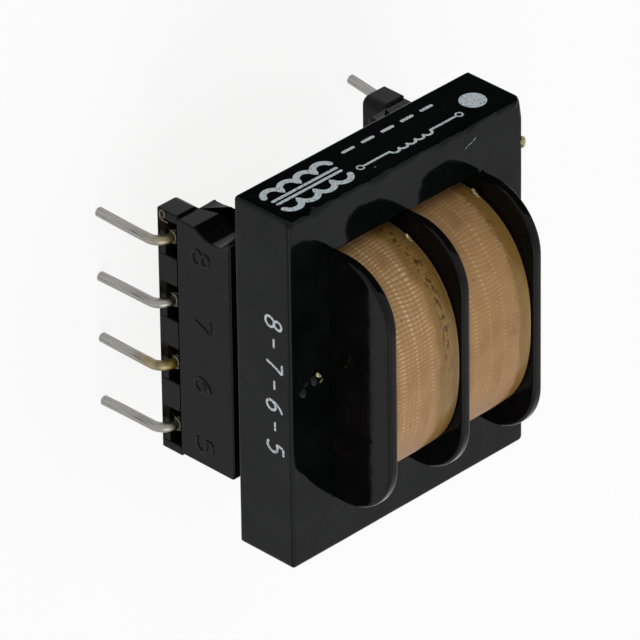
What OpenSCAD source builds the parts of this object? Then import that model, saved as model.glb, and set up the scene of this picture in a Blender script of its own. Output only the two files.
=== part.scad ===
// Open-frame split-bobbin transformer for a printed circuit board.
//
// X runs along the coil former, Y along its long side, and Z away from the board.
// The origin is the middle of the pin pattern on the board's surface: the feet of
// the two terminal blocks stand on z = 0 and the pins reach down through the board.

/* [Core] */
// Long side of the lamination stack, along Y
core_length = 34.925; // [30:0.005:45]
// Short side of the lamination stack, along X
core_width = 28.575; // [25:0.005:38]
// Width of the E lamination's middle leg
tongue_w = 9.525; // [7:0.005:11]
// Width of the E lamination's outer legs
leg_w = 4.76; // [3:0.01:6]
// Width of the E lamination's back and of the I lamination
yoke_w = 4.76; // [3:0.01:6]
// Thickness of one lamination
sheet_t = 0.635; // [0.5:0.005:0.8]
// Number of laminations in the stack
sheets = 10; // [6:1:12]
// Air gap where an I lamination butts against its E
butt_gap = 0.04; // [0.02:0.01:0.1]

/* [Coil former] */
// Wall of the tube that the windings sit on
tube_wall = 0.75; // [0.5:0.05:1.2]
// Outer corner radius of that tube
tube_corner_r = 0.6; // [0.2:0.05:1]
// Thickness of each of the three flanges
flange_t = 1; // [0.6:0.05:1.5]
// How far the flanges stand past each face of the stack
flange_rise = 7.05; // [5:0.05:9]
// Corner radius of the flanges
flange_corner_r = 5.6; // [3:0.1:6.5]
// Side gap between the flanges and the core's outer legs
flange_side_gap = 0.35; // [0.2:0.05:0.8]
// Clearance between the former and the laminations elsewhere
former_fit = 0.1; // [0.05:0.01:0.2]

/* [Windings] */
// How far the coils stay inside the flanges' long edges
coil_side_margin = 1.15; // [0.8:0.05:2]
// How far the coils stay inside the flanges' top and bottom edges
coil_top_margin = 0.05; // [0.05:0.05:1.5]
// How square the coils' outline is: 2 is an ellipse, more is squarer
coil_squareness = 2.4; // [2:0.1:3.5]
// Thickness of the glass cloth tape round each coil
tape_t = 0.25; // [0.1:0.05:0.5]
// Clearance between a coil and the former
coil_fit = 0.05; // [0.02:0.01:0.1]

/* [Terminal blocks] */
// How far each block's outer face stays inside the core's edge
block_inset = 0.3; // [0:0.05:1]
// Block length past the outermost pins
block_end_margin = 2.425; // [2:0.025:4]
// Gap between the blocks and the core above them
shelf_gap = 1; // [0.5:0.1:1.5]
// Height of the foot rail below the shelf
foot_h = 2.5; // [2.3:0.05:3.5]
// Thickness of the foot rail
foot_t = 2.8; // [2.2:0.05:3.5]
// How far the foot rail stands past the shelf at its ends
foot_proud = 0.25; // [0.1:0.05:0.5]
// Corner radius at the inner ends of the foot rail
foot_corner_r = 0.8; // [0.3:0.05:1]
// Height of the flanges' lower edge above the shelf's underside
flange_lift = 0.35; // [0.2:0.05:1]
// Corner radius at the upper ends of each block
block_corner_r = 0.4; // [0.2:0.05:0.8]
// Radius of the hollow in one end of each block
hollow_r = 3.6; // [3:0.05:4]
// Depth of that hollow
hollow_d = 0.8; // [0.4:0.05:1]
// Height of the hollow's middle above the board
hollow_h = 6.8; // [6:0.1:7]

/* [Pin pockets] */
// Length of the pocket round each pin, along Y
pocket_w = 3.5; // [3:0.05:4]
// Height of the pocket
pocket_h = 1.9; // [1.8:0.05:2]
// Depth of the pocket into the block's outer face
pocket_d = 1; // [0.9:0.05:1.3]

/* [Pins] */
// Diameter of the pin wire
pin_d = 0.8; // [0.6:0.01:0.9]
// Pins on each side
pins_per_side = 4; // [2:1:5]
// Distance from pin to pin along a row
pin_pitch = 6.35; // [5.08:0.01:7.62]
// How far the rows stand past the blocks' outer faces
pin_overhang = 1.1; // [0.9:0.05:2]
// Centre-line radius of the bend in each pin
pin_bend_r = 1.6; // [1.2:0.05:1.7]
// Height of the pins' level legs above the board
pin_h = 1.35; // [1.3:0.01:1.45]
// How far the pins reach below the board's surface
pin_drop = 6.1; // [3:0.1:8]
// Lean of pin 1 away from its block, in degrees
pin_1_lean = 8; // [0:1:12]
// Chamfer on the pins' tips
pin_tip = 0.15; // [0.05:0.01:0.2]
// How much thinner in radius the pins and wires are in their bends
bend_neck = 0.01; // [0.005:0.005:0.015]
// Radial clearance of a pin in its hole
pin_fit = 0.02; // [0.01:0.01:0.05]

/* [Lead wires] */
// Diameter of the lead wires
wire_d = 0.3; // [0.2:0.01:0.32]
// Distance of each lead wire from the middle of its pin, along Y
wire_offset = 1.1; // [1.1:0.05:1.3]
// Centre-line radius of the bends in the lead wires
wire_bend_r = 0.25; // [0.2:0.01:0.3]
// Clearance round the lead wires
wire_fit = 0.03; // [0.02:0.01:0.05]
// Turns of wire wrapped round each pin, drawn as one soldered collar
wire_turns = 2; // [2:1:3]

/* [Hidden] */
$fn = 48;
COIL_POINTS = 96;
// How far, in degrees, a bend runs on inside the straight rods at its ends
BEND_LAP = 3;
// How far a cutting shape runs on past what it cuts
CUT_LAP = 1;

stack_t = sheets * sheet_t;
flange_h = stack_t + 2 * flange_rise;
window_y = core_length / 2 - leg_w;
window_x = core_width / 2 - yoke_w;
flange_half = window_y - flange_side_gap;
former_half = window_x - former_fit;
core_z = foot_h + flange_lift + flange_h / 2;
core_bottom = core_z - stack_t / 2;

tube_w = tongue_w + 2 * (former_fit + tube_wall);
tube_h = stack_t + 2 * (former_fit + tube_wall);
chamber_w = former_half - flange_t - flange_t / 2;
coil_w = chamber_w - 2 * coil_fit;
coil_x = flange_t / 2 + coil_fit;
coil_half = flange_half - coil_side_margin;
coil_rise = flange_h / 2 - coil_top_margin;

block_x = core_width / 2 - block_inset;
block_half = (pins_per_side - 1) * pin_pitch / 2 + block_end_margin;
shelf_top = core_bottom - shelf_gap;
foot_x = block_x - foot_t;
foot_half = block_half + foot_proud;
pocket_x = block_x - pocket_d;

row_x = block_x + pin_overhang;
pin_r = pin_d / 2;
wire_r = wire_d / 2;
collar_t = wire_turns * wire_d;
collar_in = pin_r + wire_fit;
collar_x = pocket_x + wire_fit;
wire_start = former_half - flange_t - wire_d;
wire_end = collar_x + collar_t / 2;

PINS = [1 : 2 * pins_per_side];
SHEETS = [1 : sheets];

BLACK = "#1c1c1e";
VARNISH = "#141416";
TINNED = "#b9b7b0";
COPPER = "#b0673c";
TAPE = "#c79a68";

// Pins 1, 2, 3 ... run down the +X side and the rest come back up the -X side.
function pin_side(n) = n <= pins_per_side ? 1 : -1;
function pin_place(n) = n <= pins_per_side ? n - 1 : 2 * pins_per_side - n;
function pin_y(n) = ((pins_per_side - 1) / 2 - pin_place(n)) * pin_pitch;
function pin_lean(n) = n == 1 ? pin_1_lean : 0;

// One quadrant's power curve, mirrored by the signs of the sine and cosine.
function power_curve(v, n) = sign(v) * pow(abs(v), 2 / n);
function coil_outline(inset) = [
    for (i = [0 : COIL_POINTS - 1])
        let (t = 360 * i / COIL_POINTS)
            [(coil_half - inset) * power_curve(cos(t), coil_squareness),
             (coil_rise - inset) * power_curve(sin(t), coil_squareness)]
];
// Height of a coil's underside above the board, at a distance y from its middle.
function coil_underside(y) =
    core_z - coil_rise * pow(1 - pow(min(1, abs(y) / coil_half), coil_squareness), 1 / coil_squareness);

module round_rect(w, h, r) {
    square([w, h - 2 * r], center = true);
    square([w - 2 * r, h], center = true);
    for (sx = [-1, 1], sy = [-1, 1])
        translate([sx * (w / 2 - r), sy * (h / 2 - r)]) circle(r);
}

// Stands a flat outline up across the former: its x becomes Y and its y becomes Z.
module across(x, t) {
    translate([x, 0, core_z]) rotate([90, 0, 90]) linear_extrude(t) children();
}

// A cylinder along +X.
module rod_x(r, l) {
    rotate([0, 90, 0]) cylinder(h = l, r = r);
}

// ---- laminations ----

// Lamination 1 is the top one. Odd ones have their I on the +X side, even ones on -X.
module sheet_place(k) {
    translate([0, 0, core_z + stack_t / 2 - k * sheet_t])
        mirror([k % 2 == 1 ? 0 : 1, 0, 0])
            linear_extrude(sheet_t) children();
}

module e_lamination(k) {
    color(VARNISH)
        sheet_place(k)
            difference() {
                translate([-core_width / 2, -core_length / 2])
                    square([core_width - yoke_w, core_length]);
                for (s = [0, 1])
                    mirror([0, s])
                        translate([-window_x, tongue_w / 2])
                            square([core_width, window_y - tongue_w / 2]);
            }
}

module i_lamination(k) {
    color(VARNISH)
        sheet_place(k)
            translate([window_x + butt_gap, -core_length / 2])
                square([yoke_w - butt_gap, core_length]);
}

// ---- coil former with its two terminal blocks ----

module flange(x) {
    across(x, flange_t) round_rect(2 * flange_half, flange_h, flange_corner_r);
}

// One terminal block, on the +X side.
module block() {
    shelf_start = former_half - flange_t / 2;
    translate([shelf_start, 0, 0])
        rotate([90, 0, 90]) linear_extrude(block_x - shelf_start) shelf_outline();
    linear_extrude(foot_h) foot_outline();
}

// The block above its foot seen along X, with its two upper corners rounded.
module shelf_outline() {
    translate([-block_half, foot_h])
        square([2 * block_half, shelf_top - block_corner_r - foot_h]);
    translate([block_corner_r - block_half, foot_h])
        square([2 * (block_half - block_corner_r), shelf_top - foot_h]);
    for (s = [-1, 1])
        translate([s * (block_half - block_corner_r), shelf_top - block_corner_r])
            circle(block_corner_r);
}

// The foot rail seen from above, with its two inner corners rounded.
module foot_outline() {
    translate([foot_x + foot_corner_r, -foot_half])
        square([foot_t - foot_corner_r, 2 * foot_half]);
    translate([foot_x, -foot_half + foot_corner_r])
        square([foot_t, 2 * (foot_half - foot_corner_r)]);
    for (s = [-1, 1])
        translate([foot_x + foot_corner_r, s * (foot_half - foot_corner_r)])
            circle(foot_corner_r);
}

// What is cut out of the +X block: the pockets, the pin and wire holes, and the hollow.
module block_cuts() {
    for (n = [1 : pins_per_side]) {
        translate([pocket_x, pin_y(n) - pocket_w / 2, pin_h - pocket_h / 2])
            cube([pocket_d + CUT_LAP, pocket_w, pocket_h]);
        translate([foot_x - CUT_LAP, pin_y(n), pin_h])
            rod_x(pin_r + pin_fit, foot_t + CUT_LAP);
        translate([foot_x - CUT_LAP, pin_y(n) + wire_offset, pin_h])
            rod_x(wire_r + wire_fit, foot_t + CUT_LAP);
    }
    translate([former_half + former_fit, block_half + hollow_r - hollow_d, hollow_h])
        rod_x(hollow_r, core_width);
}

module bobbin() {
    color(BLACK)
        difference() {
            union() {
                across(-former_half, 2 * former_half)
                    round_rect(tube_w, tube_h, tube_corner_r);
                for (x = [-former_half, -flange_t / 2, former_half - flange_t])
                    flange(x);
                for (m = [0, 1]) mirror([m, 0, 0]) block();
            }
            across(-core_width, 2 * core_width)
                square([tongue_w + 2 * former_fit, stack_t + 2 * former_fit], center = true);
            for (m = [0, 1]) mirror([m, 0, 0]) block_cuts();
        }
}

// ---- windings and their tape ----

module winding(side) {
    color(COPPER)
        across(side > 0 ? coil_x : -coil_x - coil_w, coil_w)
            difference() {
                polygon(coil_outline(tape_t));
                round_rect(tube_w + 2 * coil_fit, tube_h + 2 * coil_fit, tube_corner_r + coil_fit);
            }
}

module tape(side) {
    color(TAPE)
        across(side > 0 ? coil_x : -coil_x - coil_w, coil_w)
            difference() {
                polygon(coil_outline(0));
                polygon(coil_outline(tape_t));
            }
}

// ---- pins and lead wires ----

// A quarter bend, or part of one, that turns a rod running along +X down towards -Z.
module bend_down(r, path_r, angle) {
    translate([0, 0, -path_r])
        rotate([90, angle - 90 + BEND_LAP, 0])
            rotate_extrude(angle = angle + 2 * BEND_LAP)
                translate([path_r, 0]) circle(r - bend_neck);
}

// A level leg through the foot rail, a bend, and a leg down through the board.
module pin(n) {
    lean = pin_lean(n);
    bend = 90 - lean;
    bend_x = row_x - pin_bend_r;
    drop_start = pin_h - pin_bend_r * (1 - cos(bend));
    leg = (drop_start + pin_drop) / sin(bend);
    color(TINNED)
        mirror([pin_side(n) > 0 ? 0 : 1, 0, 0])
            translate([0, pin_y(n), 0]) {
                translate([foot_x + pin_fit, 0, pin_h]) rod_x(pin_r, bend_x - foot_x - pin_fit);
                translate([bend_x, 0, pin_h]) bend_down(pin_r, pin_bend_r, bend);
                translate([bend_x + pin_bend_r * sin(bend), 0, drop_start])
                    rotate([0, 180 - lean, 0]) {
                        cylinder(h = leg - pin_tip, r = pin_r);
                        translate([0, 0, leg - pin_tip])
                            cylinder(h = pin_tip, r1 = pin_r, r2 = pin_r - pin_tip);
                    }
            }
}

// From the coil's underside, under the flange, through the foot rail and round the pin.
module lead_wire(n) {
    y = pin_y(n) + wire_offset;
    top = coil_underside(abs(y) - wire_r) - wire_fit;
    color(COPPER)
        mirror([pin_side(n) > 0 ? 0 : 1, 0, 0]) {
            translate([wire_start, y, pin_h + wire_bend_r])
                cylinder(h = top - pin_h - wire_bend_r, r = wire_r);
            translate([wire_start + wire_bend_r, y, pin_h])
                rotate([0, 180, 0]) bend_down(wire_r, wire_bend_r, 90);
            translate([wire_start + wire_bend_r, y, pin_h])
                rod_x(wire_r, wire_end - wire_start - 2 * wire_bend_r);
            translate([wire_end - wire_bend_r, y, pin_h])
                rotate([-90, 0, 0]) bend_down(wire_r, wire_bend_r, 90);
            translate([wire_end, y - wire_bend_r, pin_h])
                rotate([90, 0, 0])
                    cylinder(h = wire_offset - wire_bend_r - collar_in - wire_r, r = wire_r);
            translate([collar_x, pin_y(n), pin_h])
                difference() {
                    rod_x(collar_in + wire_d, collar_t);
                    translate([-collar_t, 0, 0]) rod_x(collar_in, 3 * collar_t);
                }
        }
}

bobbin();
winding(-1);  // winding_primary
winding(1);  // winding_secondary
tape(-1);  // tape_primary
tape(1);  // tape_secondary
for (k = SHEETS) {
    e_lamination(k);
    i_lamination(k);
}
for (n = PINS) {
    pin(n);
    lead_wire(n);
}
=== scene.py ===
# %% [markdown]
# # A board-mounted transformer, dressed in Blender
# A small mains transformer has a stack of steel sheets, a moulded bobbin with two coils,
# glass-cloth tape over the coils, and eight tinned pins that go into the circuit board.
# Its solids come ready made, in metres, in one frame: Z points away from the board, the
# origin is on the board in the middle of the pins. Here every solid gets its real finish,
# and the shapes a rigid solid can't show (the varnish skin, the wrapped tape, the twisted
# wire ends) are worked out as surfaces and take the solid's place.

# %% Load the solids
import bmesh
import bpy
import numpy as np
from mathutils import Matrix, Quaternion, Vector


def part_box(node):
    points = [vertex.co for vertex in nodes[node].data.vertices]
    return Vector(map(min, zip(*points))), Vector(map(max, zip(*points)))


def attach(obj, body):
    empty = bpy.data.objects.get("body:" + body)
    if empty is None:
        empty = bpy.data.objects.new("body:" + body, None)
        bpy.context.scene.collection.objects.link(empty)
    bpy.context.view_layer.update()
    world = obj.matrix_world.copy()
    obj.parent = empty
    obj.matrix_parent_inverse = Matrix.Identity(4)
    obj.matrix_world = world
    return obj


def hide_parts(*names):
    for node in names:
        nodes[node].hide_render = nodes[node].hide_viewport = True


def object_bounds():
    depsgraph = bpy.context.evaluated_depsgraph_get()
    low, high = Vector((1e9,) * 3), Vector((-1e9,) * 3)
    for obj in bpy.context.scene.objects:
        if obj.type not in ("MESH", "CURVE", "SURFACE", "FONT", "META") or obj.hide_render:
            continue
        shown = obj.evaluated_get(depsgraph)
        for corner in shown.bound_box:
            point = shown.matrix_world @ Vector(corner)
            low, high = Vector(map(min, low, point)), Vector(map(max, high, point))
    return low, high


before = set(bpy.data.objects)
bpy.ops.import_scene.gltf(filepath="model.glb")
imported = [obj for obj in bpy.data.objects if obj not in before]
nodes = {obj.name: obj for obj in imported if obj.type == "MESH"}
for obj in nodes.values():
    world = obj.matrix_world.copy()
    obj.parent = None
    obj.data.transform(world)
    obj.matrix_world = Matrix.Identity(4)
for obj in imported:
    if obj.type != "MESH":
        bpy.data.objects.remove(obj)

MM = 0.001
scene = bpy.context.scene
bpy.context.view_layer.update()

# %% [markdown]
# ## The camera
# The part is seen from above its left rear corner, with a long lens from nearly 0.8 m, so
# that parallel edges stay almost parallel. The camera is rolled, which is why its turn is
# written as a quaternion. The focal length follows from the angle of view and a sensor
# 36 mm wide.

# %% Camera
view_angle = np.radians(4.035938)
camera_data = bpy.data.cameras.new("camera")
camera_data.sensor_width = 36.0
camera_data.lens = 18.0 / np.tan(view_angle / 2)
camera_data.clip_start, camera_data.clip_end = 0.02, 20.0
camera = bpy.data.objects.new("camera", camera_data)
camera.location = (-0.47376294, 0.41667982, 0.47874628)
camera.rotation_mode = "QUATERNION"
camera.rotation_quaternion = Quaternion((0.88699445, -0.25277652, -0.36984834, -0.11205839))
scene.collection.objects.link(camera)
scene.camera = camera
scene.view_settings.view_transform = "Standard"
print("lens:", round(camera_data.lens, 1), "mm")

# %% [markdown]
# ## Colour and nodes
# Colours are noted the way a paint program shows them, as sRGB hex. Blender's sockets want
# linear light, so one function turns them. One more function adds a node to a material with
# its settings and its links: a material is then read as a short list of nodes.

# %% Colour and node helpers
def linear(hex_colour):
    """sRGB hex to linear RGBA: below 0.04045 divide by 12.92, above it ((c + 0.055) / 1.055) ** 2.4."""
    s = np.array([int(hex_colour[i:i + 2], 16) for i in (1, 3, 5)]) / 255
    rgb = np.where(s <= 0.04045, s / 12.92, ((s + 0.055) / 1.055) ** 2.4)
    return (*rgb.tolist(), 1.0)


def plug(tree, node, links):
    """Link each source, a socket or a node's first output, to the input of that name or number."""
    for key, source in links.items():
        tree.links.new(getattr(source, "outputs", [source])[0], node.inputs[key])


def add(tree, kind, settings=None, links=None):
    """Add one node. A setting goes to the input of that name or number, or else to the node itself."""
    node = tree.nodes.new("ShaderNode" + kind)
    for key, value in (settings or {}).items():
        if isinstance(key, int) or key in node.inputs:
            node.inputs[key].default_value = value
        else:
            setattr(node, key, value)
    plug(tree, node, links or {})
    return node


def finish(name, roughness, ior=None, metallic=0.0):
    """A new material with one Principled shader. Constants are set on the shader's own sockets."""
    material = bpy.data.materials.new(name)
    material.use_nodes = True
    tree = material.node_tree
    shader = next(n for n in tree.nodes if n.type == "BSDF_PRINCIPLED")
    shader.inputs["Roughness"].default_value = roughness
    shader.inputs["Metallic"].default_value = metallic
    if ior:
        shader.inputs["IOR"].default_value = ior
    return material, tree, shader


def ramp(tree, socket, *stops):
    """A colour ramp whose stops are (place from 0 to 1, hex colour)."""
    node = add(tree, "ValToRGB", links={"Fac": socket})
    band = node.color_ramp
    while len(band.elements) < len(stops):
        band.elements.new(1.0)
    for element, (place, colour) in zip(band.elements, stops):
        element.position = place
        element.color = linear(colour)
    return node.outputs["Color"]


print("mid grey #808080 is", round(linear("#808080")[0], 3), "in linear light")

# %% [markdown]
# ## Surfaces from numbers
# Each new shape is a surface over a grid: a formula gives the place of row i and column j
# for the whole array at once. Where the grid meets itself (a seam) or shrinks to one point
# (a pole), the doubled points are merged, so that the skin is closed. Then the faces are
# turned to point outwards.

# %% Grid and tube helpers
def skin(name, points, uv=None, smooth=True):
    """A mesh over points[i, j] = (x, y, z): each square of four neighbours is one face.

    uv[i, j] is kept per corner.
    """
    rows, columns = points.shape[:2]
    number = np.arange(rows * columns).reshape(rows, columns)
    faces = np.stack(
        [number[:-1, :-1], number[1:, :-1], number[1:, 1:], number[:-1, 1:]], axis=-1
    ).reshape(-1, 4)
    mesh = bpy.data.meshes.new(name)
    mesh.from_pydata(points.reshape(-1, 3).tolist(), [], faces.tolist())
    if uv is not None:
        layer = mesh.uv_layers.new(name="wrap")
        layer.data.foreach_set("uv", uv.reshape(-1, 2)[faces].astype(np.float32).ravel())
    shape = bmesh.new()
    shape.from_mesh(mesh)
    bmesh.ops.remove_doubles(shape, verts=shape.verts, dist=1e-7)
    bmesh.ops.recalc_face_normals(shape, faces=shape.faces)
    shape.to_mesh(mesh)
    shape.free()
    mesh.polygons.foreach_set("use_smooth", [smooth] * len(mesh.polygons))
    piece = bpy.data.objects.new(name, mesh)
    scene.collection.objects.link(piece)
    return piece


def tube(name, path, radius, across, sides=20, chamfer=0.0):
    """A circle carried along a path: ring i = path[i] + radius * (cos a * side + sin a * up).

    side is at right angles to the path and to the direction `across`, up to both. At each end
    a chamfer ring and a pole close the tube. The uv is (length along, length around) in 0.1 m.
    """
    path = np.asarray(path, float)
    along = np.gradient(path, axis=0)
    along /= np.linalg.norm(along, axis=1)[:, None]
    side = np.cross(along, np.broadcast_to(across, along.shape))
    side /= np.linalg.norm(side, axis=1)[:, None]
    up = np.cross(side, along)
    radii = np.broadcast_to(radius, len(path)).astype(float)
    last = len(path) - 1
    pick = np.r_[0, 0, 0:last + 1, last, last]
    push = np.zeros(len(pick))
    push[2], push[-3] = chamfer, -chamfer
    size = radii[pick].copy()
    size[[0, -1]] = 0.0
    size[[1, -2]] -= chamfer
    centre = path[pick] + push[:, None] * along[pick]
    angle = np.linspace(0, 2 * np.pi, sides + 1)
    ring = (np.cos(angle)[None, :, None] * side[pick][:, None]
            + np.sin(angle)[None, :, None] * up[pick][:, None])
    points = centre[:, None] + size[:, None, None] * ring
    points[:, -1] = points[:, 0]
    step = np.r_[0, np.linalg.norm(np.diff(path, axis=0), axis=1)].cumsum()[pick]
    uv = np.stack(np.broadcast_arrays(step[:, None] * 10, angle[None] * radii[0] * 10), -1)
    return skin(name, points, uv)


def even(points, spacing):
    """The same line with points at even spacing along its length."""
    points = np.asarray(points, float)
    length = np.r_[0, np.linalg.norm(np.diff(points, axis=0), axis=1)].cumsum()
    at = np.linspace(0, length[-1], max(int(length[-1] / spacing), 4) + 1)
    return np.stack([np.interp(at, length, points[:, k]) for k in range(points.shape[1])], -1)


def flowing(points, spacing):
    """A Catmull-Rom curve: cubics whose slope at each point is half its neighbours' difference."""
    p = np.asarray(points, float)
    p = np.vstack([2 * p[0] - p[1], p, 2 * p[-1] - p[-2]])
    t = np.linspace(0, 1, 17)[None, :-1, None]
    a, b, c, d = (p[i:len(p) - 3 + i, None] for i in range(4))
    curve = 0.5 * (2 * b + (c - a) * t + (2 * a - 5 * b + 4 * c - d) * t**2
                   + (3 * b - a - 3 * c + d) * t**3)
    return even(np.vstack([curve.reshape(-1, p.shape[1]), p[-2:-1]]), spacing)


def rounded_box_line(half_a, half_b, radii, side_points, corner_points):
    """A closed rounded rectangle, counter-clockwise: straight sides joined by quarter circles.

    radii is one number, or four for the corners (+,+), (-,+), (-,-), (+,-), or an array
    [..., 4] whose first directions are kept, so that the rounding may change along a path.
    """
    radii = np.broadcast_to(radii, (*np.shape(radii)[:-1], 4)) if np.ndim(radii) else np.full(4, radii)
    turn = np.linspace(0, np.pi / 2, corner_points)
    corners = []
    for k, (sa, sb) in enumerate([(1, 1), (-1, 1), (-1, -1), (1, -1)]):
        r = radii[..., k, None]
        angle = turn + k * np.pi / 2
        corners.append(np.stack([sa * (half_a - r) + r * np.cos(angle),
                                 sb * (half_b - r) + r * np.sin(angle)], -1))
    share = np.linspace(0, 1, side_points + 1)[1:-1, None]
    parts = []
    for k in range(4):
        start, end = corners[k - 1][..., -1:, :], corners[k][..., :1, :]
        parts += [start + (end - start) * share, corners[k]]
    line = np.concatenate(parts, -2)
    return np.concatenate([line, line[..., :1, :]], -2)


def dress(piece, material, slot, *replaced):
    """Give the piece its material and slot, let it ride on the body, and hide the solids it stands for."""
    piece.data.materials.clear()
    piece.data.materials.append(material)
    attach(piece, "root")
    if replaced:
        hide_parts(*replaced)
    return piece


print("helpers ready")

# %% [markdown]
# ## Varnish on the core
# The real core is a stack of electrical steel sheets, dipped in black insulating varnish
# and baked. What the eye sees is the varnish: almost black, smooth and glossy, with soft
# sags, a few specks of dust and rounded edges where it has crept back. It could be a bevel
# on each sheet, but the varnish bridges all of them, and no joint between sheets is seen.
# So it is one skin in place of the twenty sheets: a rounded cross-section carried round the
# frame of the core, 0.06 mm outside the steel.

# %% Black baked varnish
varnish, tree, shader = finish("baked_black_varnish", 0.06, ior=1.22)
place = add(tree, "TexCoord").outputs["Object"]
# sags are some 4 mm long, so the noise runs at 250 waves per metre
sag = add(tree, "TexNoise", {"Scale": 250.0, "Detail": 1.5, "Roughness": 0.4}, {"Vector": place})
# dust is 0.02 mm on the real one; drawn at 0.12 mm so that it shows
dust = add(tree, "TexVoronoi", {"Scale": 1100.0, "feature": "F1"}, {"Vector": place})
speck = add(tree, "Math", {"operation": "LESS_THAN", 1: 0.13}, {0: dust})
chance = add(tree, "SeparateColor", links={"Color": dust.outputs["Color"]})
rare = add(tree, "Math", {"operation": "GREATER_THAN", 1: 0.985}, {0: chance.outputs["Red"]})
seen = add(tree, "Math", {"operation": "MULTIPLY"}, {0: speck, 1: rare})
black = ramp(tree, sag, (0.3, "#050606"), (0.7, "#0b0c0c"))
colour = add(tree, "Mix", {"data_type": "RGBA", 7: linear("#6a6d6c")},
             {0: seen, 6: black})
plug(tree, shader, {"Base Color": colour.outputs[2]})
gloss = add(tree, "MapRange", {"From Min": 0.3, "From Max": 0.7, "To Min": 0.035, "To Max": 0.08},
            {"Value": sag})
plug(tree, shader, {"Roughness": gloss})
# where one sheet ends and the next begins, the varnish dips a little along the joint
axes = add(tree, "SeparateXYZ", links={"Vector": place})
off = add(tree, "Math", {"operation": "SUBTRACT", 1: 9.55 * MM}, {0: axes.outputs["X"]})
off = add(tree, "Math", {"operation": "ABSOLUTE"}, {0: off})
dip = add(tree, "MapRange", {"From Min": 0.0, "From Max": 0.07 * MM, "To Min": 0.0, "To Max": 1.0},
          {"Value": off})
top = add(tree, "Math", {"operation": "LESS_THAN", 1: 16.1 * MM}, {0: axes.outputs["Z"]})
dip = add(tree, "Math", {"operation": "MAXIMUM"}, {0: dip, 1: top})
grain = add(tree, "TexNoise", {"Scale": 2500.0, "Detail": 2.0}, {"Vector": place})
bump = add(tree, "Bump", {"Strength": 0.02, "Distance": 0.00004}, {"Height": grain})
bump = add(tree, "Bump", {"Strength": 0.25, "Distance": 0.0004},
           {"Height": sag, "Normal": bump})
bump = add(tree, "Bump", {"Strength": 0.15, "Distance": 0.00003},
           {"Height": dip, "Normal": bump})
plug(tree, shader, {"Normal": bump})
print("material:", varnish.name)

# %% The varnish skin
core_middle = (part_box("e_lamination_1")[1].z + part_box("e_lamination_10")[0].z) / 2
window_x, window_y, coat = 9.4375 * MM, 12.37 * MM, 0.06 * MM


def core_skin(name):
    """Frame with a rounded cross-section: P(u, v) = outer(u) * (1 - s(v)) + inner(u) * s(v), z(u, v).

    u runs round the frame, v round the cross-section; s is the share of the way from the
    outer outline to the window's. The edge radius is 0.26 mm, and changes with u up to
    0.9 mm where varnish has gathered, and slow sine waves lift the skin by up to 0.01 mm,
    as varnish that has sagged.
    """
    half_x = -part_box("e_lamination_1")[0].x + coat
    half_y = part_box("e_lamination_1")[1].y + coat
    half_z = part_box("e_lamination_1")[1].z - core_middle + coat
    wide = half_x - window_x
    outer = rounded_box_line(half_x, half_y, 0.32 * MM, 90, 7)
    inner = rounded_box_line(window_x, window_y, 0.1 * MM, 90, 7)
    u = np.linspace(0, 2 * np.pi, len(outer))[:, None]
    # varnish gathered on the front edge of the long side that hung lowest, at +Y
    hung = np.clip((outer[:, 1:] - half_y) / (2 * MM) + 1, 0, 1)
    lobes = 0.5 + 0.28 * np.sin(13 * u + 1.1) + 0.2 * np.sin(31 * u) + 0.12 * np.sin(67 * u + 2)
    front = (0.26 + 0.62 * hung * np.clip(lobes, 0, 1.1)) * MM
    tight, rear = np.full_like(front, 0.05 * MM), np.full_like(front, 0.22 * MM)
    ring = rounded_box_line(wide / 2, half_z, np.concatenate([front, tight, tight, rear], -1), 24, 14)
    share = (0.5 - ring[..., 0] / wide)[..., None]
    v = np.linspace(0, 2 * np.pi, ring.shape[1])[None]
    wave = 0.004 * MM * (np.sin(5 * u + 1) * np.sin(2 * v) + 0.7 * np.sin(13 * u + 2) * np.sin(3 * v + 1)
                         + 0.5 * np.sin(29 * u) * np.sin(4 * v + 2))
    flat = (outer[:, None] * (1 - share) + inner[:, None] * share) * (1 + wave / half_y)[..., None]
    z = core_middle + ring[..., 1] * (1 + wave / half_z)
    return skin(name, np.concatenate([flat, z[..., None]], -1))


sheet_nodes = [n for n in nodes if "lamination" in n]
core_coat = dress(core_skin("core_varnish"), varnish, "lamination", *sheet_nodes)
print("varnish skin:", len(core_coat.data.polygons), "faces, for", len(sheet_nodes), "sheets")

# %% [markdown]
# ## The bobbin
# Bobbin, flanges and pin blocks are one moulding in black glass-filled nylon. Fresh from
# the tool it has a fine, slightly uneven sheen. Its flanges have a round rim, which catches
# the light as thin bright lines, so they are made new: a profile with a half-circle at its
# end, carried round a rounded rectangle. The blocks with their pockets and holes are a copy
# of the solid, merged into clean faces, with a small radius on each edge.

# %% Glass-filled nylon
nylon, tree, shader = finish("glass_filled_nylon", 0.12, ior=1.22)
place = add(tree, "TexCoord").outputs["Object"]
# flow marks some 3 mm long, and glass fibres that real ones show at 0.01 mm, drawn at 0.15 mm
flow = add(tree, "TexNoise", {"Scale": 330.0, "Detail": 3.0, "Distortion": 0.6}, {"Vector": place})
fibre = add(tree, "TexNoise", {"Scale": 6500.0, "Detail": 2.0}, {"Vector": place})
plug(tree, shader, {"Base Color": ramp(tree, flow, (0.3, "#060606"), (0.62, "#0c0a0a"), (0.8, "#120e0d"))})
sheen = add(tree, "MapRange", {"From Min": 0.3, "From Max": 0.7, "To Min": 0.05, "To Max": 0.13},
            {"Value": flow})
plug(tree, shader, {"Roughness": sheen})
bump = add(tree, "Bump", {"Strength": 0.06, "Distance": 0.00003}, {"Height": fibre})
bump = add(tree, "Bump", {"Strength": 0.10, "Distance": 0.0002},
           {"Height": flow, "Normal": bump})
plug(tree, shader, {"Normal": bump})
print("material:", nylon.name)

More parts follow.
